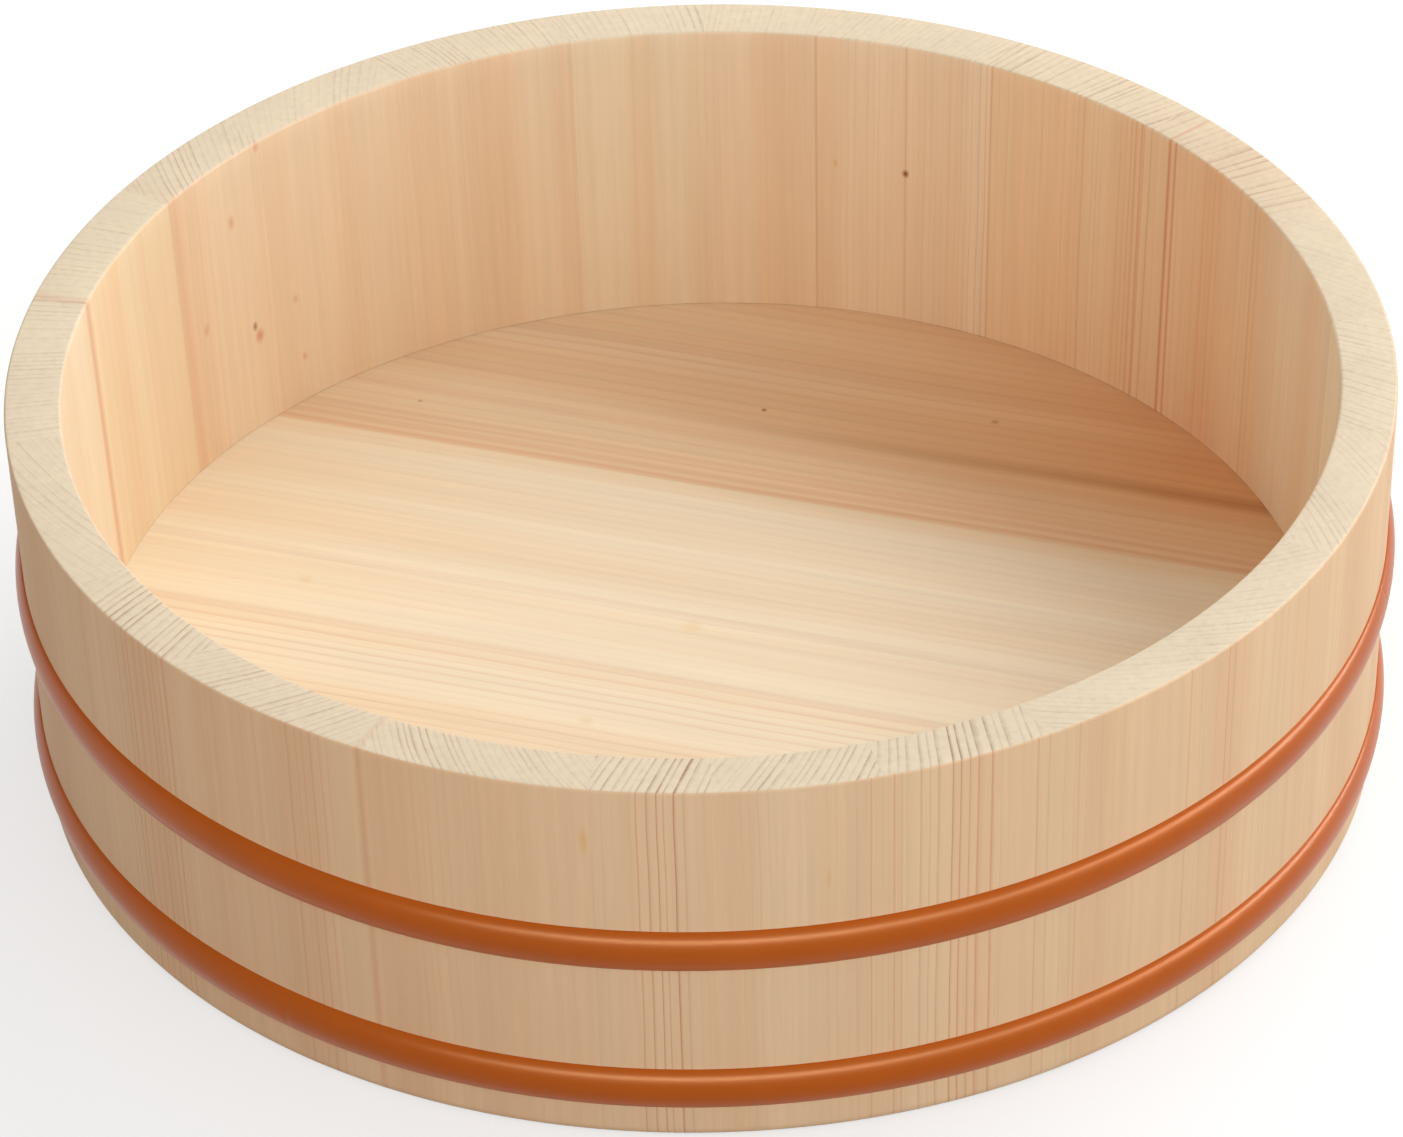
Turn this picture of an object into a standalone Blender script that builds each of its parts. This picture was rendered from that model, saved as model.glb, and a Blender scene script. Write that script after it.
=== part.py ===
# Sushi rice tub: tapered staves around a planked bottom, held by two plastic hoops.
# Metres, +Z up, origin on the tub's axis at the foot plane. The photographed front faces -Y.

import math

import bmesh
import bpy
from mathutils import Matrix

# Overall form
RIM_RADIUS = 0.165
TUB_HEIGHT = 0.102
OUTER_TAPER = 0.045
RIM_THICKNESS = 0.0135
INNER_TAPER = 0.058
EDGE_EASE = 0.0008
FOOT_CHAMFER = 0.0025

# Joints between staves, as bearings in degrees from +X towards +Y
STAVE_JOINTS = (
    6, 24, 42, 60.6, 78.2, 88.8, 101.4, 119, 135, 148, 165.5,
    187, 208.5, 222.5, 241, 260.3, 270, 283.5, 297.4, 313, 331, 349,
)
FACET_ANGLE = 4.0

# Bottom of the tub
FLOOR_HEIGHT = 0.0235
BOARD_THICKNESS = 0.012
GROOVE_DEPTH = 0.004
BOARD_JOINTS = (-0.62, -0.105, 0.42)  # as shares of the bottom's radius
BOARD_TURN = -18.5
TONGUE_CHAMFER = 0.003

# Hoops
HOOP_HEIGHT = 0.0115
HOOP_THICKNESS = 0.0018
UPPER_HOOP_BASE = 0.050
LOWER_HOOP_BASE = 0.009
HOOP_ROUNDING = 0.8

# Bamboo pegs
PEG_RADIUS = 0.0015
PEG_LENGTH = 0.018
PEG_CHAMFER = 0.0004
STAVE_PEG_HEIGHT = 0.036
BOARD_PEG_REACH = 0.6

# Clearances
JOINT_GAP = 0.0003
GROOVE_GAP = 0.0003
HOOP_GAP = 0.0003
PEG_GAP = 0.0003

ROUND_STEPS = 90
PEG_SIDES = 10
HOOP_ARC_STEPS = 8


def outer_radius(height):
    return RIM_RADIUS - OUTER_TAPER * (TUB_HEIGHT - height)


def inner_radius(height):
    return RIM_RADIUS - RIM_THICKNESS - INNER_TAPER * (TUB_HEIGHT - height)


BOARD_UNDERSIDE = FLOOR_HEIGHT - BOARD_THICKNESS
GROOVE_TOP = FLOOR_HEIGHT + GROOVE_GAP
GROOVE_BASE = BOARD_UNDERSIDE - GROOVE_GAP
GROOVE_RADIUS = inner_radius(BOARD_UNDERSIDE) + GROOVE_DEPTH
BOTTOM_RADIUS = GROOVE_RADIUS - GROOVE_GAP


def make_material(name, colour, roughness):
    material = bpy.data.materials.new(name)
    material.use_nodes = True
    shader = material.node_tree.nodes["Principled BSDF"]
    shader.inputs["Base Color"].default_value = (*colour, 1.0)
    shader.inputs["Roughness"].default_value = roughness
    shader.inputs["Metallic"].default_value = 0.0
    return material


def add_object(name, mesh_data, collection, material=None):
    bmesh.ops.recalc_face_normals(mesh_data, faces=mesh_data.faces)
    mesh = bpy.data.meshes.new(name)
    mesh_data.to_mesh(mesh)
    mesh_data.free()
    thing = bpy.data.objects.new(name, mesh)
    collection.objects.link(thing)
    if material:
        mesh.materials.append(material)
    return thing


def close_ends(mesh_data):
    open_edges = [edge for edge in mesh_data.edges if edge.is_boundary]
    bmesh.ops.holes_fill(mesh_data, edges=open_edges, sides=0)


def spin_profile(profile, start, angle, steps):
    # Profile points are (radius, height); the closed outline is swept about Z from the start bearing.
    mesh_data = bmesh.new()
    points = [mesh_data.verts.new((radius, 0.0, height)) for radius, height in profile]
    edges = [mesh_data.edges.new((points[i - 1], points[i])) for i in range(len(points))]
    bmesh.ops.rotate(
        mesh_data, cent=(0, 0, 0), matrix=Matrix.Rotation(start, 3, "Z"), verts=points
    )
    whole_turn = abs(angle - 2 * math.pi) < 1e-9
    bmesh.ops.spin(
        mesh_data, geom=points + edges, cent=(0, 0, 0), axis=(0, 0, 1),
        angle=angle, steps=steps, use_merge=whole_turn,
    )
    if not whole_turn:
        close_ends(mesh_data)
    return mesh_data


def stave_profile():
    foot_outer = outer_radius(0.0)
    return [
        (inner_radius(0.0) + EDGE_EASE, 0.0),
        (foot_outer - FOOT_CHAMFER, 0.0),
        (outer_radius(FOOT_CHAMFER), FOOT_CHAMFER),
        (outer_radius(TUB_HEIGHT - EDGE_EASE), TUB_HEIGHT - EDGE_EASE),
        (RIM_RADIUS - EDGE_EASE, TUB_HEIGHT),
        (RIM_RADIUS - RIM_THICKNESS + EDGE_EASE, TUB_HEIGHT),
        (inner_radius(TUB_HEIGHT - EDGE_EASE), TUB_HEIGHT - EDGE_EASE),
        (inner_radius(GROOVE_TOP), GROOVE_TOP),
        (GROOVE_RADIUS, GROOVE_TOP),
        (GROOVE_RADIUS, GROOVE_BASE + TONGUE_CHAMFER),
        (GROOVE_RADIUS - TONGUE_CHAMFER, GROOVE_BASE),
        (inner_radius(GROOVE_BASE), GROOVE_BASE),
        (inner_radius(EDGE_EASE), EDGE_EASE),
    ]


def hoop_profile(base):
    # A flattened half round whose flat back follows the tapered wall.
    middle = base + HOOP_HEIGHT / 2
    points = []
    for step in range(HOOP_ARC_STEPS + 1):
        turn = math.pi * step / HOOP_ARC_STEPS
        height = middle - math.cos(turn) * HOOP_HEIGHT / 2
        bulge = HOOP_THICKNESS * max(math.sin(turn), 0.0) ** HOOP_ROUNDING
        points.append((outer_radius(height) + HOOP_GAP + bulge, height))
    return points


def peg_mesh(radius, length, chamfer):
    # A round pin along local X with chamfered ends.
    mesh_data = bmesh.new()
    lie_along_x = Matrix.Rotation(math.pi / 2, 4, "Y")
    bmesh.ops.create_cone(
        mesh_data, cap_ends=True, cap_tris=False, segments=PEG_SIDES,
        radius1=radius, radius2=radius, depth=length, matrix=lie_along_x,
    )
    if chamfer:
        end_faces = [face for face in mesh_data.faces if len(face.verts) == PEG_SIDES]
        rims = [edge for face in end_faces for edge in face.edges]
        bmesh.ops.bevel(
            mesh_data, geom=rims, offset=chamfer, segments=1, profile=0.5, affect="EDGES"
        )
    return mesh_data


def cut_with(target, cutter):
    cut = target.modifiers.new("cut " + cutter.name, "BOOLEAN")
    cut.operation = "DIFFERENCE"
    cut.solver = "EXACT"
    cut.object = cutter


def add_peg(name, place, neighbours):
    hole = add_object(
        name + "_hole",
        peg_mesh(PEG_RADIUS + PEG_GAP, PEG_LENGTH + 2 * PEG_GAP, 0.0),
        cutters,
    )
    peg = add_object(name, peg_mesh(PEG_RADIUS, PEG_LENGTH, PEG_CHAMFER), parts, bamboo)
    for thing in (hole, peg):
        thing.data.transform(place)
    hole.hide_render = True
    hole.display_type = "WIRE"
    for neighbour in neighbours:
        cut_with(neighbour, hole)


def board_mesh(low, high):
    # One plank of the round bottom, between two joint lines across local Y.
    edge_profile = [
        (BOTTOM_RADIUS - TONGUE_CHAMFER, BOARD_UNDERSIDE),
        (BOTTOM_RADIUS, BOARD_UNDERSIDE + TONGUE_CHAMFER),
        (BOTTOM_RADIUS, FLOOR_HEIGHT),
    ]
    mesh_data = bmesh.new()
    rings = []
    for radius, height in edge_profile:
        lift = Matrix.Translation((0, 0, height))
        ring = bmesh.ops.create_circle(
            mesh_data, cap_ends=False, segments=ROUND_STEPS, radius=radius, matrix=lift
        )["verts"]
        rings.append(ring)
    for lower, upper in zip(rings, rings[1:]):
        for i in range(ROUND_STEPS):
            mesh_data.faces.new((lower[i - 1], lower[i], upper[i], upper[i - 1]))
    mesh_data.faces.new(rings[0])
    mesh_data.faces.new(rings[-1])
    for line, side in ((low, -1), (high, 1)):
        if line is None:
            continue
        bmesh.ops.bisect_plane(
            mesh_data, geom=mesh_data.verts[:] + mesh_data.edges[:] + mesh_data.faces[:],
            dist=1e-7, plane_co=(0, line - side * JOINT_GAP / 2, 0), plane_no=(0, side, 0),
            clear_outer=True,
        )
        close_ends(mesh_data)
    return mesh_data


for thing in list(bpy.data.objects):
    bpy.data.objects.remove(thing, do_unlink=True)

parts = bpy.data.collections.new("sushi_rice_tub")
cutters = bpy.data.collections.new("cutters")
for group in (parts, cutters):
    bpy.context.scene.collection.children.link(group)
cutters.hide_render = True

stave_wood = make_material("stave_wood", (0.72, 0.53, 0.34), 0.6)
board_wood = make_material("board_wood", (0.66, 0.45, 0.27), 0.6)
hoop_plastic = make_material("hoop_plastic", (0.48, 0.14, 0.04), 0.3)
bamboo = make_material("bamboo", (0.66, 0.56, 0.30), 0.5)

# Staves, each from one joint to the next
staves = []
half_gap = JOINT_GAP / 2 / inner_radius(0.0)
for index, bearing in enumerate(STAVE_JOINTS):
    following = STAVE_JOINTS[(index + 1) % len(STAVE_JOINTS)]
    width = (following - bearing) % 360
    staves.append(
        add_object(
            f"stave_{index + 1:02d}",
            spin_profile(
                stave_profile(),
                math.radians(bearing) + half_gap,
                math.radians(width) - 2 * half_gap,
                max(2, round(width / FACET_ANGLE)),
            ),
            parts,
            stave_wood,
        )
    )

# A peg across each stave joint, at mid thickness and hidden between the hoops
across_joint = Matrix.Rotation(math.pi / 2, 4, "Z")
peg_circle = (outer_radius(STAVE_PEG_HEIGHT) + inner_radius(STAVE_PEG_HEIGHT)) / 2
for index, bearing in enumerate(STAVE_JOINTS):
    around = Matrix.Rotation(math.radians(bearing), 4, "Z")
    place = around @ Matrix.Translation((peg_circle, 0, STAVE_PEG_HEIGHT)) @ across_joint
    add_peg(f"stave_peg_{index + 1:02d}", place, (staves[index - 1], staves[index]))

# Planks of the bottom, seated in the groove of the staves
turn_boards = Matrix.Rotation(math.radians(BOARD_TURN), 4, "Z")
joint_lines = [share * BOTTOM_RADIUS for share in BOARD_JOINTS]
board_lines = (None, *joint_lines, None)
boards = []
for index, (low, high) in enumerate(zip(board_lines, board_lines[1:])):
    plank = board_mesh(low, high)
    plank.transform(turn_boards)
    boards.append(add_object(f"bottom_board_{index + 1}", plank, parts, board_wood))

# Two pegs across each plank joint
peg_level = BOARD_UNDERSIDE + BOARD_THICKNESS / 2
count = 0
for index, line in enumerate(joint_lines):
    reach = BOARD_PEG_REACH * math.sqrt(BOTTOM_RADIUS**2 - line**2)
    for along in (-reach, reach):
        count += 1
        place = turn_boards @ Matrix.Translation((along, line, peg_level)) @ across_joint
        add_peg(f"board_peg_{count}", place, (boards[index], boards[index + 1]))

# Hoops around the tapered wall
for name, base in (("upper_hoop", UPPER_HOOP_BASE), ("lower_hoop", LOWER_HOOP_BASE)):
    add_object(
        name, spin_profile(hoop_profile(base), 0.0, 2 * math.pi, ROUND_STEPS), parts, hoop_plastic
    )
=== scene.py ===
import math

import bmesh
import bpy
import numpy as np
from mathutils import Matrix, Vector


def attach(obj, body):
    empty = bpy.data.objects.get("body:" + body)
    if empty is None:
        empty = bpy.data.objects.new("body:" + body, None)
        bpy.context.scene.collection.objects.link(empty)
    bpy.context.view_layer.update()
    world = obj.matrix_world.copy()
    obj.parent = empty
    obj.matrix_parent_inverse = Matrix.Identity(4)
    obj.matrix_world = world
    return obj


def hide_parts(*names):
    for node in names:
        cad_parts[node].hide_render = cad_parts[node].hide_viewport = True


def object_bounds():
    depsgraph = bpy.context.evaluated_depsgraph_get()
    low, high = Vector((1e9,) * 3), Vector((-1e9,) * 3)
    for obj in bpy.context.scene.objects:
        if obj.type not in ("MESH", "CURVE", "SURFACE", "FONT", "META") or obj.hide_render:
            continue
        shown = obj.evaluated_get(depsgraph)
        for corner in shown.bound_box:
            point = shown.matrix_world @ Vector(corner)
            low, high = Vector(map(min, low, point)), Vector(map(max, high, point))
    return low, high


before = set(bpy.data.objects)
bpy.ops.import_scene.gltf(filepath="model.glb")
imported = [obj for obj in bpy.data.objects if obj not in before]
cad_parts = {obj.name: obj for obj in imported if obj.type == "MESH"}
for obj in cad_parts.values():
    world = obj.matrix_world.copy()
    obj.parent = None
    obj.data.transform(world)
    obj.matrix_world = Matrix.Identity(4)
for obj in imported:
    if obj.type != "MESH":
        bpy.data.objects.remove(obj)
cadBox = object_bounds()
print("frame loaded with", len(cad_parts), "solids")


class Wire:  # a shader socket that can take part in sums
    def __init__(self, nodes, socket):
        self.nodes = nodes
        self.socket = socket

    def calc(self, operation, *values):
        return self.nodes.add("ShaderNodeMath", {"operation": operation}, dict(enumerate(values)))

    def __add__(self, other):
        return self.calc("ADD", self, other)

    def __radd__(self, other):
        return self.calc("ADD", other, self)

    def __sub__(self, other):
        return self.calc("SUBTRACT", self, other)

    def __rsub__(self, other):
        return self.calc("SUBTRACT", other, self)

    def __mul__(self, other):
        return self.calc("MULTIPLY", self, other)

    def __rmul__(self, other):
        return self.calc("MULTIPLY", other, self)

    def __truediv__(self, other):
        return self.calc("DIVIDE", self, other)

    def __rtruediv__(self, other):
        return self.calc("DIVIDE", other, self)

    def __pow__(self, other):
        return self.calc("POWER", self, other)

    def __abs__(self):
        return self.calc("ABSOLUTE", self)

    def clip(self):
        return self.calc("MAXIMUM", self.calc("MINIMUM", self, 1.0), 0.0)

    def rise(self, low, high):  # 0 at low, 1 at high
        return ((self - low) / (high - low)).clip()


class Nodes:  # the node tree of a material or of the world
    def __init__(self, tree):
        self.tree = tree

    def add(self, kind, settings=None, sockets=None, out=0):
        node = self.tree.nodes.new(kind)
        for key, value in (settings or {}).items():
            if key == "stops":
                fillRamp(node.color_ramp, value)
            else:
                setattr(node, key, value)
        for key, value in (sockets or {}).items():
            self.feed(node.inputs[key], value)
        return Wire(self, node.outputs[out])

    def feed(self, socket, value):
        if isinstance(value, Wire):
            self.tree.links.new(value.socket, socket)
        elif isinstance(value, tuple) and len(value) == 3 and socket.type == "RGBA":
            socket.default_value = (*value, 1.0)
        else:
            socket.default_value = value

    def attribute(self, name):
        return self.add("ShaderNodeAttribute", {"attribute_name": name}, out="Vector")

    def place(self):
        return self.add("ShaderNodeTexCoord", out="Object")

    def split(self, vector):
        node = self.add("ShaderNodeSeparateXYZ", {}, {0: vector}).socket.node
        return [Wire(self, socket) for socket in node.outputs]

    def stretch(self, vector, factors):  # by one factor, or by one for each axis
        factors = factors if isinstance(factors, tuple) else (factors,) * 3
        return self.add("ShaderNodeVectorMath", {"operation": "MULTIPLY"}, {0: vector, 1: factors})

    def dot(self, first, second):
        settings = {"operation": "DOT_PRODUCT"}
        return self.add("ShaderNodeVectorMath", settings, {0: first, 1: second}, "Value")

    def noise(self, vector, detail=2.0, roughness=0.5, out=0):
        sockets = {"Vector": vector, "Scale": 1.0, "Detail": detail, "Roughness": roughness}
        return self.add("ShaderNodeTexNoise", {}, sockets, out)

    def noiseLine(self, along):
        sockets = {"W": along, "Scale": 1.0, "Detail": 1.0}
        return self.add("ShaderNodeTexNoise", {"noise_dimensions": "1D"}, sockets)

    def mix(self, first, second, factor, blend="MIX"):
        settings = {"data_type": "RGBA", "blend_type": blend}
        return self.add("ShaderNodeMix", settings, {0: factor, 6: first, 7: second}, 2)

    def ramp(self, factor, stops):
        return self.add("ShaderNodeValToRGB", {"stops": stops}, {0: factor})

    def tint(self, colour, level):  # makes a colour lighter or darker
        return self.add("ShaderNodeHueSaturation", {}, {"Value": level, "Color": colour})

    def shownRays(self):  # rays that see the background: straight, mirrored or through glass
        kinds = ("Is Camera Ray", "Is Glossy Ray", "Is Transmission Ray")
        camera, mirrored, glass = (self.add("ShaderNodeLightPath", out=kind) for kind in kinds)
        return (camera + mirrored + glass).clip()


class Finish(Nodes):  # one material
    def __init__(self, name):
        self.material = bpy.data.materials.new(name)
        self.material.use_nodes = True
        super().__init__(self.material.node_tree)
        self.shader = self.tree.nodes["Principled BSDF"]

    def set(self, **values):
        for key, value in values.items():
            self.feed(self.shader.inputs[key.replace("_", " ")], value)


def fillRamp(ramp, stops):
    while len(ramp.elements) < len(stops):
        ramp.elements.new(0.5)
    for element, (position, level) in zip(ramp.elements, stops):
        element.position = position
        element.color = (level, level, level, 1.0)


def srgb(red, green, blue):  # screen colour to the linear colour that a socket takes
    linear = []
    for level in (red / 255, green / 255, blue / 255):
        linear.append(((level + 0.055) / 1.055) ** 2.4 if level > 0.04045 else level / 12.92)
    return tuple(linear)


def weigh(value, share):  # lets a value count in part: 0 gives 1, and 1 gives the value
    return value * share + (1 - share)


def wrapTurn(turn):  # the same turn, between half a turn back and half a turn ahead
    return (turn + math.pi) % (2 * math.pi) - math.pi


def ringSpots(profile, bearing):
    return [(r * math.cos(bearing), r * math.sin(bearing), z) for r, z in profile]


def sweepRound(name, profileAt, bearings, closed):
    # carries an outline of (radius, height) points round the tub's axis
    rows = [ringSpots(profileAt(b), b) for b in bearings]
    count = len(rows[0])
    faces = []
    for i in range(len(rows) if closed else len(rows) - 1):
        j = (i + 1) % len(rows)
        for k in range(count):
            m = (k + 1) % count
            faces.append((i * count + k, j * count + k, j * count + m, i * count + m))
    if not closed:
        last = (len(rows) - 1) * count
        faces.append(tuple(range(count)))
        faces.append(tuple(last + k for k in reversed(range(count))))
    return meshPiece(name, [spot for row in rows for spot in row], faces)


def meshPiece(name, spots, faces, creaseAngle=35):
    mesh = bpy.data.meshes.new(name)
    mesh.from_pydata(spots, [], faces)
    work = bmesh.new()
    work.from_mesh(mesh)
    bmesh.ops.recalc_face_normals(work, faces=work.faces)
    work.to_mesh(mesh)
    work.free()
    mesh.polygons.foreach_set("use_smooth", [True] * len(mesh.polygons))
    mesh.set_sharp_from_angle(angle=math.radians(creaseAngle))
    piece = bpy.data.objects.new(name, mesh)
    bpy.context.scene.collection.objects.link(piece)
    return piece


def roundCorner(corner, before, after, radius, steps=4):
    # outline points that round one corner of a profile
    here, back, ahead = Vector(corner), Vector(before), Vector(after)
    start = here + (back - here).normalized() * radius
    end = here + (ahead - here).normalized() * radius
    spots = []
    for i in range(steps + 1):
        t = i / steps
        spots.append(tuple(start * (1 - t) ** 2 + here * 2 * t * (1 - t) + end * t ** 2))
    return spots


def storeVectors(piece, name, values):
    layer = piece.data.attributes.new(name, "FLOAT_VECTOR", "POINT")
    layer.data.foreach_set("vector", np.asarray(values, dtype=np.float32).ravel())


tub = {  # metres, as in the solids
    "rimRadius": 0.165,
    "height": cadBox[1][2],
    "outerTaper": 0.045,
    "wall": 0.0135,
    "innerTaper": 0.058,
    "floorHeight": 0.0235,
    "boardThickness": 0.012,
    "grooveDepth": 0.004,
}


def outerAt(z):
    return tub["rimRadius"] - tub["outerTaper"] * (tub["height"] - z)


def innerAt(z):
    return tub["rimRadius"] - tub["wall"] - tub["innerTaper"] * (tub["height"] - z)


# wood

woodColours = {
    "pale": srgb(238, 203, 163),
    "blush": srgb(232, 187, 146),
    # the two inside colours are paler and less saturated, as painted light for the tub's inside
    "insidePaleAndPaintedLight": srgb(244, 224, 194),
    "insideBlushAndPaintedLight": srgb(240, 210, 174),
    "late": srgb(204, 112, 66),
    "endPale": srgb(239, 221, 192),
    "endLate": srgb(166, 120, 82),
    "red": srgb(214, 124, 66),
    "brown": srgb(154, 80, 34),
    "resin": srgb(226, 170, 60),
}

woodTones = {  # what a plank's own tone makes of the colours above
    "milk": (1.03, 1.07, 1.08),
    "cream": (1.03, 1.02, 1.00),
    "plain": (1.00, 0.98, 0.95),
    "honey": (1.02, 0.98, 0.90),
    "pink": (1.00, 0.93, 0.88),
    "tan": (1.01, 0.87, 0.75),
    "sand": (0.98, 0.92, 0.85),
    # russet and umber darken the last plank: heartwood, and partly painted shade towards the back
    # right
    "russet": (0.86, 0.60, 0.40),
    "umber": (0.74, 0.62, 0.52),
}

woodLook = {  # scales are per millimetre, across and along the grain where there are three
    "sway": 2.4,  # millimetres that a ring line strays
    "swayScale": (0.02, 0.02, 0.012),
    # darkness through one ring, from early to late wood
    "ringShade": [(0.0, 0.0), (0.55, 0.04), (0.82, 0.55), (0.91, 1.0), (1.0, 0.0)],
    "unevenScale": 0.35,  # per ring
    "groupScale": 0.13,  # per ring
    "groupRise": (0.35, 0.7),
    "bandEdge": 0.3,
    "blush": 0.55,
    "blushScale": 0.06,
    "blushRise": (0.4, 0.66),
    "paintedLightInsideRise": (0.0, 0.01),
    "fibre": 0.07,
    "fibreScale": (2.4, 2.4, 0.05),
    "strand": 0.13,
    "strandScale": (0.45, 0.45, 0.012),
    "patch": 0.11,
    "patchScale": (0.07, 0.07, 0.006),
    "fineStreak": 0.3,  # narrower streaks don't show on the ends
    "spotFirmness": 1.3,
    "reliefStrength": 0.1,
    "reliefDepth": 0.0004,
    "roughness": 0.62,
    "specular": 0.3,
    "ior": 1.45,
}

ringLook = {  # how unevenly the rings are spaced, and how much single rings and groups stand out
    "staves": {"uneven": 1.3, "single": 0.7, "group": 0.8},
    "boards": {"uneven": 0.6, "single": 0.4, "group": 0.4},
}

endLook = {  # end grain
    "slope": (0.7, 0.9),  # how level a face is where end grain sets in and is full
    "broken": 0.6,  # share of a line that may be broken up
    "brokenScale": 0.22,
    "brokenRise": (0.3, 0.62),
    "single": 0.75,
    "group": 0.5,
    "band": 0.4,
    "darkest": 0.8,
    "mottle": 0.36,
    "mottleScale": 0.5,
    "tone": 0.2,  # share of the plank's own tone that it takes
    "streak": 0.5,  # share of a broad streak
}


def woodFinish(name, kind, whereStreaks, streaks, spots, heartwoodAndPaintedShade=None):
    finish = Finish(name)
    hasEnds = kind == "staves"
    look = ringLook[kind]
    log = finish.attribute("logSpace")  # millimetres across, away from and along the pith
    gap, faceForce, endForce = finish.split(finish.attribute("plankCut"))
    bandMiddle, bandReach, bandForce = finish.split(finish.attribute("plankBand"))
    across, deep = finish.split(log)[:2]

    # year rings: dark late wood at the end of each ring, some rings stronger than others
    sway = finish.noise(finish.stretch(log, woodLook["swayScale"]), 2.0, out="Color")
    swayX, swayY = finish.split(sway)[:2]
    ringX = across + (swayX - 0.5) * woodLook["sway"]
    ringY = deep + (swayY - 0.5) * woodLook["sway"]
    distance = (ringX * ringX + ringY * ringY) ** 0.5
    rings = distance / gap
    uneven = rings + (finish.noiseLine(rings * woodLook["unevenScale"]) - 0.5) * look["uneven"]
    phase = uneven.calc("FRACT", uneven)
    ringNumber = uneven.calc("FLOOR", uneven)
    ringForce = finish.add("ShaderNodeTexWhiteNoise", {"noise_dimensions": "1D"}, {"W": ringNumber})
    group = finish.noiseLine(rings * woodLook["groupScale"]).rise(*woodLook["groupRise"])
    late = finish.ramp(phase, woodLook["ringShade"])
    band = (1 - abs(distance - bandMiddle) / bandReach).rise(0.0, woodLook["bandEdge"])
    lines = (late * late if hasEnds else late) * weigh(ringForce, look["single"])
    faceLine = lines * (weigh(group, look["group"]) * faceForce + band * bandForce)

    # faces that look into the tub get paler, less saturated colours as painted light for the tub's
    # inside, and boards have no others
    place = finish.place()
    inside, onFace = 1.0, 1.0
    if hasEnds:
        normal = finish.add("ShaderNodeNewGeometry", out="Normal")
        inside = (0 - finish.dot(place, normal)).rise(*woodLook["paintedLightInsideRise"])
        onFace = 1 - abs(finish.split(normal)[2]).rise(*endLook["slope"])
    blush = finish.noiseLine(distance * woodLook["blushScale"]).rise(*woodLook["blushRise"])
    pale = finish.mix(woodColours["pale"], woodColours["insidePaleAndPaintedLight"], inside)
    rosy = finish.mix(woodColours["blush"], woodColours["insideBlushAndPaintedLight"], inside)
    face = finish.mix(pale, rosy, blush * woodLook["blush"])
    face = finish.mix(face, woodColours["late"], faceLine.clip())

    if hasEnds:
        broken = finish.noise(finish.stretch(log, endLook["brokenScale"]), 2.0)
        broken = weigh(broken.rise(*endLook["brokenRise"]), endLook["broken"])
        force = weigh(group, endLook["group"]) * endForce + band * bandForce * endLook["band"]
        endLine = late * broken * weigh(ringForce, endLook["single"]) * force
        endLine = endLine.calc("MINIMUM", endLine, endLook["darkest"])
        mottle = finish.noise(finish.stretch(log, endLook["mottleScale"]), 3.0, 0.7) - 0.5
        endLine = (endLine + mottle * endLook["mottle"]).clip()
        end = finish.mix(woodColours["endPale"], woodColours["endLate"], endLine)
        face = finish.mix(end, face, onFace)
    toned = weigh(onFace, 1 - endLook["tone"])
    face = finish.mix(face, finish.attribute("plankTone"), toned, "MULTIPLY")

    # tone washes on the boards: heartwood, and partly painted shade towards the back right
    for tone, mask in heartwoodAndPaintedShade(finish) if heartwoodAndPaintedShade else ():
        face = finish.mix(face, woodTones[tone], mask, "MULTIPLY")

    where = whereStreaks(finish)
    for middle, reach, force, colour in streaks:
        shown = onFace if reach < woodLook["fineStreak"] else weigh(onFace, endLook["streak"])
        mask = (1 - abs(where - middle) / reach).clip() * shown * force
        face = finish.mix(face, woodColours[colour], mask)
    for spot, size, force, colour in spots:
        face = finish.mix(face, woodColours[colour], spotMask(finish, place, spot, size) * force)

    fibre = finish.noise(finish.stretch(log, woodLook["fibreScale"]), 3.0, 0.6) - 0.5
    strand = finish.noise(finish.stretch(log, woodLook["strandScale"]), 2.0) - 0.5
    patch = finish.noise(finish.stretch(log, woodLook["patchScale"]), 1.0) - 0.5
    shade = fibre * woodLook["fibre"] + strand * woodLook["strand"] + patch * woodLook["patch"] + 1.0
    bump = {
        "Strength": woodLook["reliefStrength"],
        "Distance": woodLook["reliefDepth"],
        "Height": fibre,
    }
    finish.set(Base_Color=finish.tint(face, shade), Normal=finish.add("ShaderNodeBump", {}, bump))
    finish.set(Roughness=woodLook["roughness"], IOR=woodLook["ior"])
    finish.set(Specular_IOR_Level=woodLook["specular"])
    return finish.material


def spotMask(finish, place, spot, size):
    # a pin knot or a resin fleck at one place, longer along the grain
    away = finish.add("ShaderNodeVectorMath", {"operation": "SUBTRACT"}, {0: place, 1: spot})
    away = finish.stretch(away, tuple(1 / s for s in size))
    reach = finish.add("ShaderNodeVectorMath", {"operation": "LENGTH"}, {0: away}, "Value")
    return ((1 - reach) * woodLook["spotFirmness"]).clip()


def meshSpots(piece):
    spots = np.empty(len(piece.data.vertices) * 3, dtype=np.float32)
    piece.data.vertices.foreach_get("co", spots)
    return spots.reshape(-1, 3)


def markWood(piece, logSpots, cut, band, tone):
    storeVectors(piece, "logSpace", logSpots)
    for name, value in (("plankCut", cut), ("plankBand", band), ("plankTone", woodTones[tone])):
        storeVectors(piece, name, [value] * len(logSpots))


# staves

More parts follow.
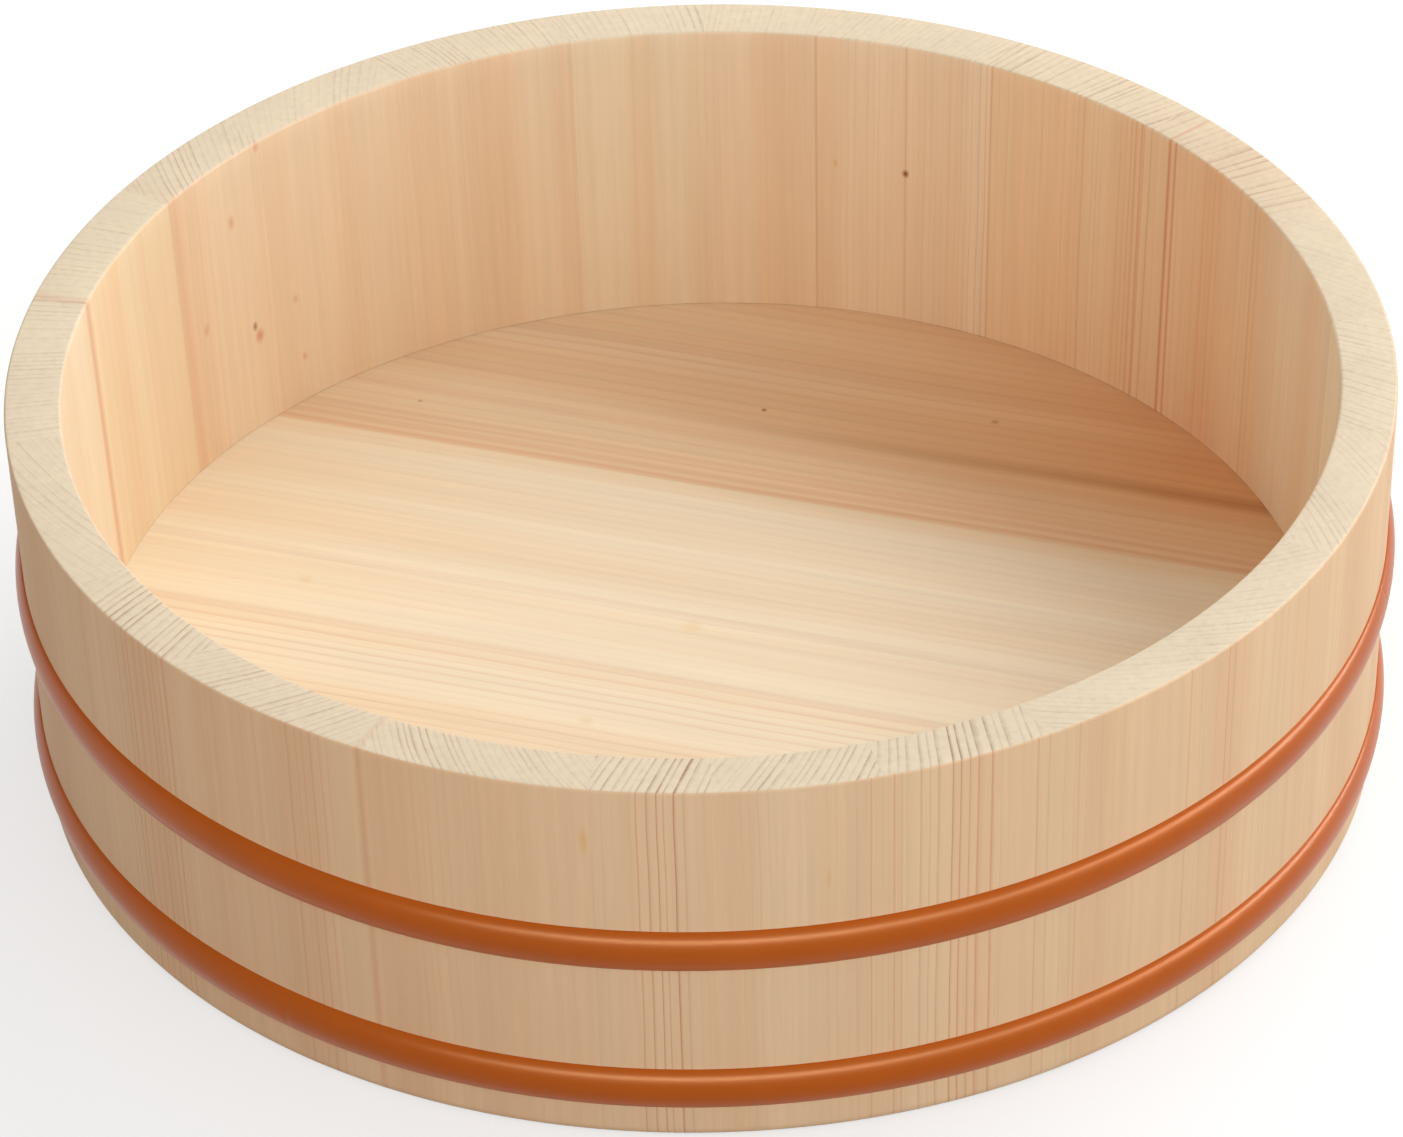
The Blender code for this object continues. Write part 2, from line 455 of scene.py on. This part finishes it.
staves = {
    "rimEase": 0.0008,
    "footRound": 0.0028,
    "jointGap": 0.00002,
    "grooveRoom": 0.0001,
    "stepAngle": 1.5,
    "fewestSteps": 4,
    "pithAway": 420,  # millimetres, and some more for each next stave
    "pithStep": 37,
    "logStep": 300,  # each stave lies this much further along its log, in mm
    # for each stave: slant of its rings from the radius, ring gap in mm,
    # line force on faces and on ends, tone
    "grain": [
        (50, 2.0, 0.16, 0.30, "pink"),
        (8, 2.4, 0.34, 0.75, "tan"),
        (15, 2.2, 0.38, 0.80, "tan"),
        (20, 1.7, 0.36, 0.50, "pink"),
        (5, 1.8, 0.14, 0.40, "pink"),
        (-11, 1.9, 0.14, 0.60, "plain"),
        (-13, 1.6, 0.10, 0.66, "pink"),
        (36, 2.0, 0.08, 0.42, "pink"),
        (36, 1.8, 0.16, 0.75, "pink"),
        (-8, 2.4, 0.08, 0.44, "honey"),
        (-6, 2.0, 0.08, 0.50, "cream"),
        (72, 1.8, 0.14, 0.48, "pink"),
        (-18, 2.2, 0.18, 0.95, "pink"),
        (30, 1.8, 0.16, 0.70, "pink"),
        (-38, 1.7, 0.14, 0.72, "pink"),
        (18, 2.0, 0.22, 1.50, "plain"),
        (31, 1.9, 0.16, 0.80, "plain"),
        (17, 2.4, 0.24, 1.25, "plain"),
        (-55, 1.9, 0.20, 0.40, "plain"),
        (-50, 1.9, 0.22, 0.45, "plain"),
        (50, 1.8, 0.16, 0.42, "plain"),
        (27, 2.0, 0.14, 0.56, "cream"),
    ],
    # staves with a group of stronger lines: bearing, half its width, force, and whether on the inside
    "bands": {
        3: (44.0, 2.5, 0.30, True),
        4: (64.0, 3.5, 0.14, True),
        13: (218.2, 4.4, 0.55, False),
        14: (236.2, 2.6, 0.40, False),
        16: (265.8, 2.6, 0.85, False),
        18: (289.6, 4.2, 0.70, False),
    },
    "streaks": [  # bearing, half its width, force, colour
        (26.2, 0.25, 0.18, "brown"),
        (33.0, 13.0, 0.20, "red"),
        (38.8, 0.26, 0.60, "red"),
        (39.6, 0.30, 0.70, "red"),
        (43.3, 0.24, 0.45, "red"),
        (44.0, 0.22, 0.36, "red"),
        (60.6, 0.18, 0.30, "red"),
        (69.3, 0.16, 0.24, "late"),
        (78.2, 0.20, 0.25, "red"),
        (101.7, 0.14, 0.12, "red"),
        # this pale streak takes the inside colour, and with it that colour's painted light
        (104.3, 3.00, 0.30, "insidePaleAndPaintedLight"),
        (147.2, 1.30, 0.18, "red"),
        (165.5, 0.90, 0.40, "red"),
        (-118.8, 0.50, 0.26, "red"),
        (-77.5, 0.12, 0.30, "late"),
        (-75.6, 0.12, 0.34, "late"),
        (-75.0, 0.12, 0.26, "late"),
        (-63.4, 0.12, 0.32, "late"),
        (-62.4, 0.12, 0.24, "late"),
        (-59.6, 0.14, 0.22, "late"),
        (-48.3, 0.14, 0.24, "late"),
        (-43.9, 0.14, 0.36, "late"),
        (-43.2, 0.12, 0.26, "late"),
        (-10.7, 0.14, 0.25, "brown"),
    ],
    "spots": [  # bearing, height in mm, on the inside, half width and half height in mm, force, colour
        (135.4, 100.8, True, 1.2, 2.0, 0.35, "red"),
        (139.5, 84.3, True, 1.3, 2.6, 0.42, "red"),
        (132.4, 53.2, True, 1.2, 1.6, 0.30, "red"),
        (137.3, 48.7, True, 1.9, 2.6, 0.60, "red"),
        (137.8, 52.0, True, 1.0, 1.7, 0.70, "brown"),
        (144.5, 60.2, True, 1.4, 2.4, 0.32, "red"),
        (131.9, 35.9, True, 1.1, 1.6, 0.35, "red"),
        (69.3, 65.8, True, 1.1, 1.4, 0.95, "brown"),
        (76.3, 66.1, True, 0.9, 1.4, 0.4, "resin"),
        (259.8, 87.1, False, 1.3, 5.0, 0.4, "resin"),
        (279.1, 74.5, False, 0.8, 4.0, 0.3, "resin"),
    ],
}


def staveProfile():
    top, foot = tub["height"], 0.0
    grooveTop = tub["floorHeight"] + staves["grooveRoom"]
    grooveBase = tub["floorHeight"] - tub["boardThickness"] - staves["grooveRoom"]
    grooveBack = innerAt(grooveBase) + tub["grooveDepth"]
    footIn, footOut = (innerAt(foot), foot), (outerAt(foot), foot)
    rimOut, rimIn = (outerAt(top), top), (innerAt(top), top)
    return [
        *roundCorner(footIn, (innerAt(grooveBase), grooveBase), footOut, staves["rimEase"]),
        *roundCorner(footOut, footIn, rimOut, staves["footRound"]),
        *roundCorner(rimOut, footOut, rimIn, staves["rimEase"]),
        *roundCorner(rimIn, rimOut, (innerAt(grooveTop), grooveTop), staves["rimEase"]),
        (innerAt(grooveTop), grooveTop),
        (grooveBack, grooveTop),
        (grooveBack, grooveBase),
        (innerAt(grooveBase), grooveBase),
    ]


def staveReach(node):
    # first and last bearing of a stave's solid
    spots = np.array([v.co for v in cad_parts[node].data.vertices])
    middle = math.atan2(spots[:, 1].mean(), spots[:, 0].mean())
    turn = wrapTurn(np.arctan2(spots[:, 1], spots[:, 0]) - middle)
    return middle + turn.min(), middle + turn.max()


def staveBand(number, middle, slant, away):
    # where a stave's stronger lines lie, as a distance from its pith
    if number not in staves["bands"]:
        return (0.0, 1.0, 0.0)
    bearing, reach, force, inside = staves["bands"][number]
    across = wrapTurn(math.radians(bearing) - middle) * tub["rimRadius"] * 1000
    deep = tub["wall"] / 2 * 1000 * (-1 if inside else 1)
    middleAway = away - across * math.cos(slant) - deep * math.sin(slant)
    return (middleAway, math.radians(reach) * tub["rimRadius"] * 1000 * math.cos(slant), force)


def makeStaves(finish):
    names = sorted(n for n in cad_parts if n.startswith("stave_") and "peg" not in n)
    reaches = [staveReach(n) for n in names]
    outline = staveProfile()
    trim = staves["jointGap"] / 2 / tub["rimRadius"]
    for i, name in enumerate(names):
        start, end = reaches[i]
        before, after = reaches[i - 1][1], reaches[(i + 1) % len(names)][0]
        first = start - (start - before) % (2 * math.pi) / 2  # middle of the joint's gap
        last = end + (after - end) % (2 * math.pi) / 2
        steps = round(math.degrees(last - first) / staves["stepAngle"])
        steps = max(staves["fewestSteps"], steps)
        bearings = np.linspace(first + trim, last - trim, steps + 1)
        piece = sweepRound("wood_" + name, lambda bearing: outline, bearings, False)
        middle = (first + last) / 2
        slant, gap, faceForce, endForce, tone = staves["grain"][i]
        slant = math.radians(slant)
        away = staves["pithAway"] + staves["pithStep"] * i
        x, y, z = meshSpots(piece).T.astype(float)
        turn = wrapTurn(np.arctan2(y, x) - middle)
        across = turn * tub["rimRadius"] * 1000 - away * math.cos(slant)
        deep = np.hypot(x, y) - outerAt(z) + tub["wall"] / 2  # the grain follows the leaning stave
        deep = deep * 1000 - away * math.sin(slant)
        logSpots = np.stack([across, deep, z * 1000 - staves["logStep"] * i], axis=1)
        band = staveBand(i + 1, middle, slant, away)
        markWood(piece, logSpots, (gap, faceForce, endForce), band, tone)
        piece.data.materials.append(finish)
        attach(piece, "root")
        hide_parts(name)
    print("staves:", len(names))


def staveFinish():
    def bearing(finish):  # degrees
        x, y = finish.split(finish.place())[:2]
        return y.calc("ARCTAN2", y, x) * (180 / math.pi)

    spots = []
    for turn, height, inside, halfWidth, halfHeight, force, colour in staves["spots"]:
        z = height / 1000
        r = innerAt(z) if inside else outerAt(z)
        spot = ringSpots([(r, z)], math.radians(turn))[0]
        spots.append((spot, (halfWidth / 1000, halfWidth / 1000, halfHeight / 1000), force, colour))
    return woodFinish("staveWood", "staves", bearing, staves["streaks"], spots)


# bottom boards

boards = {
    "jointGap": 0.00004,
    "clearance": 0.0002,
    "stepAngle": 2.0,
    "arcShare": 0.99999,  # how far round the outer planks go, so that no two points meet at the end
    "roundEdge": 0.0002,  # points this near to the widest reach are on the round edge
    "pithAway": 520,
    "pithStep": 61,
    "logStep": 900,
    "stray": 3.0,  # millimetres that streaks stray from straight
    "strayScale": 9.0,
    "grain": [  # slant of the rings from upright, ring gap, line force on faces and on ends, tone
        (10, 2.9, 0.26, 0.3, "milk"),
        (-8, 2.9, 0.26, 0.3, "milk"),
        (8, 2.6, 0.14, 0.3, "milk"),
        (-20, 3.3, 0.22, 0.3, "sand"),
    ],
    "streaks": [  # distance across the boards from the middle in mm, half its width, force, colour
        (-16.3, 2.2, 0.12, "late"),
        (9.2, 1.8, 0.10, "late"),
        (64.4, 1.4, 0.22, "late"),
        (67.6, 1.4, 0.22, "late"),
        (70.8, 1.2, 0.20, "late"),
        (73.4, 1.0, 0.16, "late"),
        (84.6, 2.0, 0.16, "late"),
        (119.0, 3.0, 0.10, "late"),
    ],
    # the last plank is heartwood, and its colour darkens towards the back right partly as painted
    # shade:
    # where that colour sets in and is full, across the planks and along them, in mm
    "washAcross": (46, 90),
    "washAlong": (-86, 92),
    "washLine": (91.4, 4.5),  # its darkest line: middle and half its width
    "spots": [  # x and y in mm, half width in mm, force, colour
        (15.7, 98.6, 0.9, 0.8, "brown"),
        (73.1, 90.6, 1.3, 0.4, "brown"),
        (-70.3, 106.7, 0.8, 0.4, "brown"),
        (-3.6, 7.0, 3.4, 0.16, "resin"),
        (-29.5, -30.2, 2.4, 0.16, "resin"),
        (-97.8, 31.3, 2.4, 0.16, "resin"),
    ],
}


def makeBoards():
    names = sorted(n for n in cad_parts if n.startswith("bottom_board"))
    low, high = tub["floorHeight"] - tub["boardThickness"], tub["floorHeight"]
    radius = innerAt(low) + tub["grooveDepth"] - boards["clearance"]
    spots = [np.array([v.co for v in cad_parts[n].data.vertices]) for n in names]
    turn = boardTurn(spots[1])
    run = np.array((math.cos(turn), math.sin(turn), 0))
    side = np.array((-math.sin(turn), math.cos(turn), 0))
    finish = boardFinish(tuple(side * 1000), tuple(run * 1000))
    spans = [((s @ side).min(), (s @ side).max()) for s in spots]
    joints = [(a[1] + b[0]) / 2 for a, b in zip(spans, spans[1:])]
    nearEdges = [-radius] + [joint + boards["jointGap"] / 2 for joint in joints]
    farEdges = [joint - boards["jointGap"] / 2 for joint in joints] + [radius]
    for i, name in enumerate(names):
        near, far = nearEdges[i], farEdges[i]
        outline = boardOutline(radius, near, far)
        count = len(outline)
        corners = []
        for z in (low, high):
            corners += [tuple(run * x + side * y + np.array((0, 0, z))) for x, y in outline]
        faces = [tuple(reversed(range(count))), tuple(range(count, 2 * count))]
        faces += [(k, (k + 1) % count, count + (k + 1) % count, count + k) for k in range(count)]
        piece = meshPiece("wood_" + name, corners, faces)
        slant, gap, faceForce, endForce, tone = boards["grain"][i]
        slant = math.radians(slant)
        away = boards["pithAway"] + boards["pithStep"] * i
        middle = (near + far) / 2 * 1000
        pithAcross = middle + away * math.cos(slant)
        pithHigh = high * 1000 + away * math.sin(slant)
        pith = np.array((pithAcross, pithHigh, boards["logStep"] * i))
        logSpots = meshSpots(piece) @ np.array((side, (0, 0, 1), run)).T * 1000 - pith
        markWood(piece, logSpots, (gap, faceForce, endForce), (0.0, 1.0, 0.0), tone)
        piece.data.materials.append(finish)
        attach(piece, "root")
        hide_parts(name)
    print("boards:", len(names))


def boardFinish(side, run):
    def along(finish, way):  # millimetres
        return finish.dot(finish.place(), way)

    def offset(finish):  # distance across the boards
        stray = finish.noise(finish.stretch(finish.place(), boards["strayScale"]), 1.0) - 0.5
        return along(finish, side) + stray * boards["stray"]

    # heartwood, darker and warmer towards the back right partly as painted shade
    def heartwoodAndPaintedShade(finish):
        across = offset(finish)
        there = along(finish, run).rise(*boards["washAlong"])
        middle, reach = boards["washLine"]
        line = (1 - abs(across - middle) / reach).clip()
        return (("russet", across.rise(*boards["washAcross"]) * there), ("umber", line * there))

    spots = []
    for x, y, half, force, colour in boards["spots"]:
        spots.append(((x / 1000, y / 1000, tub["floorHeight"]), (half / 1000,) * 3, force, colour))
    return woodFinish("boardWood", "boards", offset, boards["streaks"], spots, heartwoodAndPaintedShade)


def boardTurn(spots):
    # the direction of a plank, from the long straight edge of its solid
    flat = spots[:, :2]
    reach = np.hypot(flat[:, 0], flat[:, 1])
    ends = flat[reach > reach.max() - boards["roundEdge"]]
    bearings = np.sort(np.arctan2(ends[:, 1], ends[:, 0]))
    gaps = np.diff(np.append(bearings, bearings[0] + 2 * math.pi))
    widest = int(gaps.argmax())
    start, end = bearings[widest], bearings[widest] + gaps[widest]
    turn = math.atan2(math.sin(end) - math.sin(start), math.cos(end) - math.cos(start))
    return turn if abs(turn) < math.pi / 2 else turn + math.pi


def boardOutline(radius, near, far):
    def arc(startY, endY, sign):
        first, last = math.asin(startY / radius), math.asin(endY / radius)
        steps = max(2, round(math.degrees(abs(last - first)) / boards["stepAngle"]))
        turns = np.linspace(first, last, steps + 1)
        return [(sign * radius * math.cos(t), radius * math.sin(t)) for t in turns]

    low = max(near, -radius * boards["arcShare"])
    high = min(far, radius * boards["arcShare"])
    return arc(low, high, 1) + arc(high, low, -1)


# hoops

hoops = {
    "thickness": 0.0021,
    "height": 0.0115,
    "seat": 0.00003,
    "shape": 1.4,
    "sectionSteps": 18,
    "upper_hoop": {"base": 0.050, "seam": 347.0},  # bearing of its weld
    "lower_hoop": {"base": 0.009, "seam": 232.2},
    "seamDip": 0.06,  # share of the thickness
    "seamWidth": 0.25,  # degrees, as are the next two
    "seamReach": 0.6,
    "ringStart": 2.0,
    "seamSteps": 9,
    "ringSteps": 179,
    "colour": srgb(187, 87, 14),
    "roughness": 0.3,
    "specular": 0.3,
    "specularTint": (1.0, 0.65, 0.35),
    "cloud": 0.12,
    "cloudScale": 60.0,
}


def hoopSection(base, swell):
    middle = base + hoops["height"] / 2
    section = []
    for i in range(hoops["sectionSteps"] + 1):
        t = math.pi * i / hoops["sectionSteps"]
        z = middle - math.cos(t) * hoops["height"] / 2
        bulge = hoops["thickness"] * max(math.sin(t), 0.0) ** hoops["shape"] * swell
        section.append((outerAt(z) + hoops["seat"] + bulge, z))
    return section


def makeHoops(finish):
    for name in ("upper_hoop", "lower_hoop"):
        seam = math.radians(hoops[name]["seam"])
        reach, start = hoops["seamReach"], hoops["ringStart"]
        nearSeam = seam + np.radians(np.linspace(-reach, reach, hoops["seamSteps"]))
        around = seam + np.radians(np.linspace(start, 360 - start, hoops["ringSteps"]))
        bearings = np.concatenate([nearSeam, around])

        def sectionAt(bearing):
            off = math.degrees(wrapTurn(bearing - seam)) / hoops["seamWidth"]
            swell = 1.0 - hoops["seamDip"] * math.exp(-(off ** 2))
            return hoopSection(hoops[name]["base"], swell)

        piece = sweepRound("band_" + name, sectionAt, bearings, True)
        piece.data.materials.append(finish)
        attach(piece, "root")
        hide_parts(name)
    print("hoops: 2")


def hoopFinish():
    finish = Finish("hoopPlastic")
    cloud = finish.noise(finish.stretch(finish.place(), hoops["cloudScale"]), 2.0) - 0.5
    finish.set(Base_Color=finish.tint(hoops["colour"], cloud * hoops["cloud"] + 1.0))
    finish.set(Roughness=hoops["roughness"], Specular_IOR_Level=hoops["specular"])
    finish.set(Specular_Tint=hoops["specularTint"])
    return finish.material


# pegs keep their solids and only get a finish

pegs = {
    "colour": srgb(214, 196, 146),
    "strand": 0.3,
    "strandScale": 900.0,
    "roughness": 0.5,
}


def dressPegs():
    finish = Finish("splitBamboo")
    strand = finish.noise(finish.stretch(finish.place(), pegs["strandScale"]), 2.0) - 0.5
    finish.set(Base_Color=finish.tint(pegs["colour"], strand * pegs["strand"] + 1.0))
    finish.set(Roughness=pegs["roughness"])
    nodes = [node for name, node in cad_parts.items() if "peg" in name]
    for node in nodes:
        node.data.materials.clear()
        node.data.materials.append(finish.material)
    print("pegs:", len(nodes))


# studio

studio = {
    "roomLevel": 0.76,
    "towardsRight": 0.20,  # the room is brighter on the right and in front
    "towardsFront": 0.25,
    "towardsTop": -0.18,
    "floorHalf": 6,
    "floorColour": (0.22, 0.22, 0.22),
    "floorRoughness": 0.9,
    "floorSpecular": 0.1,
    "shownFloor": (0.45, 0.45, 0.45),  # as the camera and mirrors see it
    "shownGlow": 0.6,
    "lamps": [  # name, place, aim, width, height, watts
        ("keyRight", (1.5, 1.65, 1.9), (0, 0, 0.05), 3.2, 1.4, 48.0),
        ("fillFront", (-0.2, -2.5, 0.09), (0, 0, 0.06), 2.4, 0.1, 8.0),
        ("fillRight", (2.5, -0.5, 0.1), (0, 0, 0.06), 3.6, 0.12, 10.0),
        ("glossFront", (0.2, -2.4, 0.09), (0, 0, 0.06), 5.4, 0.16, 112.0),
        ("glossRight", (2.5, -0.2, 0.3), (0, 0, 0.06), 4.4, 0.5, 92.0),
    ],
    "glossOnly": ["glossFront", "glossRight"],  # strips that show in gloss and light nothing else
}


def makeWorld():
    world = bpy.data.worlds.new("softRoom")
    bpy.context.scene.world = world
    world.use_nodes = True
    nodes = Nodes(world.node_tree)
    x, y, z = nodes.split(nodes.add("ShaderNodeTexCoord", out="Generated"))
    level = x * studio["towardsRight"] - y * studio["towardsFront"] + z * studio["towardsTop"]
    level = level + studio["roomLevel"]
    room = nodes.add("ShaderNodeBackground", {}, {"Color": (1.0, 1.0, 1.0), "Strength": level})
    nodes.feed(nodes.tree.nodes["World Output"].inputs["Surface"], room)


def makeFloor():
    half = studio["floorHalf"]
    corners = [(-half, -half, 0), (half, -half, 0), (half, half, 0), (-half, half, 0)]
    floor = meshPiece("studioFloor", corners, [(0, 1, 2, 3)])
    paper = Finish("floorPaper")
    paper.set(Base_Color=studio["floorColour"], Roughness=studio["floorRoughness"])
    paper.set(Specular_IOR_Level=studio["floorSpecular"])
    sockets = {
        "Base Color": studio["shownFloor"],
        "Roughness": 1.0,
        "Specular IOR Level": 0.0,
        "Emission Color": (1.0, 1.0, 1.0),
        "Emission Strength": studio["shownGlow"],
    }
    shown = paper.add("ShaderNodeBsdfPrincipled", {}, sockets)
    plain = Wire(paper, paper.shader.outputs[0])
    both = paper.add("ShaderNodeMixShader", {}, {0: paper.shownRays(), 1: plain, 2: shown})
    paper.feed(paper.tree.nodes["Material Output"].inputs["Surface"], both)
    floor.data.materials.append(paper.material)


def makeLamps():
    for name, place, aim, width, height, watts in studio["lamps"]:
        lamp = bpy.data.lights.new(name, "AREA")
        lamp.shape = "ELLIPSE"
        lamp.size = width
        lamp.size_y = height
        lamp.energy = watts
        holder = bpy.data.objects.new(name, lamp)
        holder.location = place
        holder.visible_diffuse = name not in studio["glossOnly"]
        holder.rotation_euler = (Vector(aim) - Vector(place)).to_track_quat("-Z", "Y").to_euler()
        bpy.context.scene.collection.objects.link(holder)
    print("studio: floor and", len(studio["lamps"]), "lamps")


# camera, from the fitted view of the photograph

shot = {
    "distance": 14 * tub["rimRadius"],
    "elevation": 0.60034,
    "roll": -0.02703,
    "aimSide": -0.000409,
    "aimUp": -0.019804,
    "focalPixels": 9749.58,
    "imageWidth": 1403,
    "sensor": 36.0,
    "clipEnd": 50,
}


def swing(first, second, angle):  # turns two square directions in their own plane
    ahead = first * math.cos(angle) + second * math.sin(angle)
    return ahead, second * math.cos(angle) - first * math.sin(angle)


def makeCamera():
    tilt = shot["elevation"]
    ahead = Vector((0, math.cos(tilt), -math.sin(tilt)))
    side = Vector((1, 0, 0))
    up = side.cross(ahead)
    ahead, side = swing(ahead, side, shot["aimSide"])
    ahead, up = swing(ahead, up, shot["aimUp"])
    side, up = swing(side, up, shot["roll"])
    camera = bpy.data.cameras.new("photoCamera")
    camera.sensor_width = shot["sensor"]
    camera.sensor_fit = "HORIZONTAL"
    camera.lens = shot["focalPixels"] / shot["imageWidth"] * shot["sensor"]
    camera.clip_end = shot["clipEnd"]
    holder = bpy.data.objects.new("photoCamera", camera)
    bpy.context.scene.collection.objects.link(holder)
    place = Vector((0, -math.cos(tilt), math.sin(tilt))) * shot["distance"]
    place = place + Vector((0, 0, tub["height"]))
    turn = Matrix((side, up, -ahead)).transposed()
    holder.matrix_world = Matrix.Translation(place) @ turn.to_4x4()
    bpy.context.scene.camera = holder
    print("camera: lens", round(camera.lens, 1), "mm")


makeStaves(staveFinish())
makeBoards()
makeHoops(hoopFinish())
dressPegs()
makeWorld()
makeFloor()
makeLamps()
makeCamera()

bpy.context.scene.view_settings.view_transform = "Standard"
